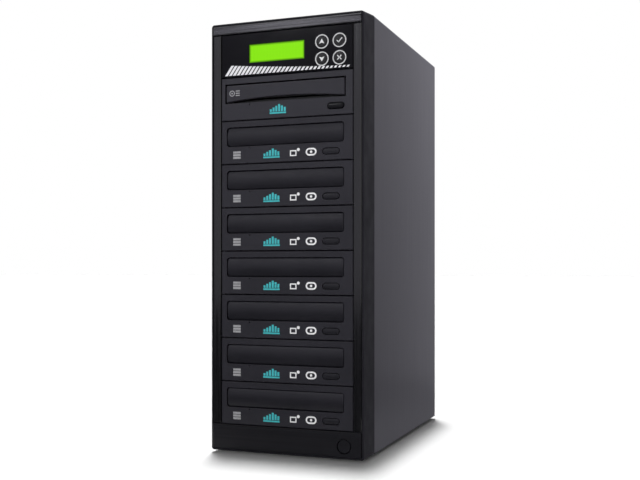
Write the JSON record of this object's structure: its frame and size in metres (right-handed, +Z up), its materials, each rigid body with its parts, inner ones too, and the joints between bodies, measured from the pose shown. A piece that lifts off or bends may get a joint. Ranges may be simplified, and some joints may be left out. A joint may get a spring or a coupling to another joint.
{
  "type": "optical disc duplicator tower",
  "caption": "Free-standing tower disc duplicator: steel case, black front bezel with a display and keys over a column of tray-loading drives, power supply and fan behind.",
  "frame": {"origin": "on the floor under the middle of the tower's box", "axes": "+Z up, -Y out of the front, +X to the right as seen from the front"},
  "size_m": [0.169, 0.2982, 0.4548],
  "materials": {
    "bezel_plastic": "satin black moulding",
    "brushed_trim": "dark brushed finish",
    "pillar_gloss": "gloss black",
    "panel_gloss": "gloss black fascia",
    "display_glass": "backlit green display",
    "key_plastic": "black keycap",
    "drive_plastic": "satin black drive front",
    "tray_plastic": "black tray moulding",
    "deck_plastic": "grey black mechanism deck",
    "zinc_steel": "zinc coated sheet",
    "cover_paint": "fine textured black paint",
    "board_green": "solder mask",
    "foot_rubber": "matt rubber",
    "psu_steel": "bare steel box",
    "inlet_plastic": "black inlet",
    "rocker_plastic": "black rocker",
    "fan_plastic": "black fan",
    "lead_sheath": "black sheath"
  },
  "bodies": {
    "chassis": {"front_bezel": "bezel_plastic", "top_trim": "brushed_trim", "bottom_trim": "brushed_trim", "side_pillars": "pillar_gloss", "control_panel": "panel_gloss", "lcd_module": "display_glass", "display_board": "board_green", "controller_tray": "zinc_steel", "control_board": "board_green", "drive_cases": "zinc_steel", "loader_decks": "deck_plastic", "drive_cage": "zinc_steel", "chassis_tub": "cover_paint", "case_cover": "cover_paint", "feet": "foot_rubber", "psu_case": "psu_steel", "power_inlet": "inlet_plastic", "exhaust_fan_frame": "fan_plastic", "drive_leads": "lead_sheath", "drive_bezel_1": "drive_plastic", "drive_bezel_2": "drive_plastic", "drive_bezel_3": "drive_plastic", "drive_bezel_4": "drive_plastic", "drive_bezel_5": "drive_plastic", "drive_bezel_6": "drive_plastic", "drive_bezel_7": "drive_plastic", "drive_bezel_8": "drive_plastic"},
    "power_key": {"power_button": "key_plastic"},
    "rocker": {"power_rocker": "rocker_plastic"},
    "psu_rotor": {"psu_fan": "fan_plastic"},
    "exhaust_rotor": {"exhaust_fan_rotor": "fan_plastic"},
    "up_key": {"key_up": "key_plastic"},
    "down_key": {"key_down": "key_plastic"},
    "enter_key": {"key_enter": "key_plastic"},
    "escape_key": {"key_escape": "key_plastic"},
    "tray_1": {"disc_tray_1": "tray_plastic", "tray_door_1": "drive_plastic"},
    "eject_1": {"eject_button_1": "drive_plastic"},
    "tray_2": {"disc_tray_2": "tray_plastic", "tray_door_2": "drive_plastic"},
    "eject_2": {"eject_button_2": "drive_plastic"},
    "tray_3": {"disc_tray_3": "tray_plastic", "tray_door_3": "drive_plastic"},
    "eject_3": {"eject_button_3": "drive_plastic"},
    "tray_4": {"disc_tray_4": "tray_plastic", "tray_door_4": "drive_plastic"},
    "eject_4": {"eject_button_4": "drive_plastic"},
    "tray_5": {"disc_tray_5": "tray_plastic", "tray_door_5": "drive_plastic"},
    "eject_5": {"eject_button_5": "drive_plastic"},
    "tray_6": {"disc_tray_6": "tray_plastic", "tray_door_6": "drive_plastic"},
    "eject_6": {"eject_button_6": "drive_plastic"},
    "tray_7": {"disc_tray_7": "tray_plastic", "tray_door_7": "drive_plastic"},
    "eject_7": {"eject_button_7": "drive_plastic"},
    "tray_8": {"disc_tray_8": "tray_plastic", "tray_door_8": "drive_plastic"},
    "eject_8": {"eject_button_8": "drive_plastic"}
  },
  "joints": [
    {"name": "tray_1_slide", "type": "slide", "parent": "chassis", "child": "tray_1", "axis": [0, -1, 0], "range_m": [0, 0.132]},
    {"name": "eject_1_press", "type": "slide", "parent": "chassis", "child": "eject_1", "axis": [0, 1, 0], "range_m": [0, 0.0012], "stiffness_N_per_m": 600},
    {"name": "tray_2_slide", "type": "slide", "parent": "chassis", "child": "tray_2", "axis": [0, -1, 0], "range_m": [0, 0.132]},
    {"name": "eject_2_press", "type": "slide", "parent": "chassis", "child": "eject_2", "axis": [0, 1, 0], "range_m": [0, 0.0012], "stiffness_N_per_m": 600},
    {"name": "tray_3_slide", "type": "slide", "parent": "chassis", "child": "tray_3", "axis": [0, -1, 0], "range_m": [0, 0.132]},
    {"name": "eject_3_press", "type": "slide", "parent": "chassis", "child": "eject_3", "axis": [0, 1, 0], "range_m": [0, 0.0012], "stiffness_N_per_m": 600},
    {"name": "tray_4_slide", "type": "slide", "parent": "chassis", "child": "tray_4", "axis": [0, -1, 0], "range_m": [0, 0.132]},
    {"name": "eject_4_press", "type": "slide", "parent": "chassis", "child": "eject_4", "axis": [0, 1, 0], "range_m": [0, 0.0012], "stiffness_N_per_m": 600},
    {"name": "tray_5_slide", "type": "slide", "parent": "chassis", "child": "tray_5", "axis": [0, -1, 0], "range_m": [0, 0.132]},
    {"name": "eject_5_press", "type": "slide", "parent": "chassis", "child": "eject_5", "axis": [0, 1, 0], "range_m": [0, 0.0012], "stiffness_N_per_m": 600},
    {"name": "tray_6_slide", "type": "slide", "parent": "chassis", "child": "tray_6", "axis": [0, -1, 0], "range_m": [0, 0.132]},
    {"name": "eject_6_press", "type": "slide", "parent": "chassis", "child": "eject_6", "axis": [0, 1, 0], "range_m": [0, 0.0012], "stiffness_N_per_m": 600},
    {"name": "tray_7_slide", "type": "slide", "parent": "chassis", "child": "tray_7", "axis": [0, -1, 0], "range_m": [0, 0.132]},
    {"name": "eject_7_press", "type": "slide", "parent": "chassis", "child": "eject_7", "axis": [0, 1, 0], "range_m": [0, 0.0012], "stiffness_N_per_m": 600},
    {"name": "tray_8_slide", "type": "slide", "parent": "chassis", "child": "tray_8", "axis": [0, -1, 0], "range_m": [0, 0.132]},
    {"name": "eject_8_press", "type": "slide", "parent": "chassis", "child": "eject_8", "axis": [0, 1, 0], "range_m": [0, 0.0012], "stiffness_N_per_m": 600},
    {"name": "up_key_press", "type": "slide", "parent": "chassis", "child": "up_key", "axis": [0, 1, 0], "range_m": [0, 0.0008], "stiffness_N_per_m": 800},
    {"name": "down_key_press", "type": "slide", "parent": "chassis", "child": "down_key", "axis": [0, 1, 0], "range_m": [0, 0.0008], "stiffness_N_per_m": 800},
    {"name": "enter_key_press", "type": "slide", "parent": "chassis", "child": "enter_key", "axis": [0, 1, 0], "range_m": [0, 0.0008], "stiffness_N_per_m": 800},
    {"name": "escape_key_press", "type": "slide", "parent": "chassis", "child": "escape_key", "axis": [0, 1, 0], "range_m": [0, 0.0008], "stiffness_N_per_m": 800},
    {"name": "power_key_press", "type": "slide", "parent": "chassis", "child": "power_key", "axis": [0, 1, 0], "range_m": [0, 0.0025], "stiffness_N_per_m": 500},
    {"name": "rocker_tilt", "type": "hinge", "parent": "chassis", "child": "rocker", "pos_m": [0.036, 0.1431, 0.04985], "axis": [1, 0, 0], "range_deg": [-16, 0]},
    {"name": "psu_rotor_spin", "type": "hinge", "parent": "chassis", "child": "psu_rotor", "pos_m": [-0.028, 0.1459, 0.03735], "axis": [0, 1, 0], "continuous": true},
    {"name": "exhaust_rotor_spin", "type": "hinge", "parent": "chassis", "child": "exhaust_rotor", "pos_m": [0, 0.1459, 0.2706], "axis": [0, 1, 0], "continuous": true}
  ]
}
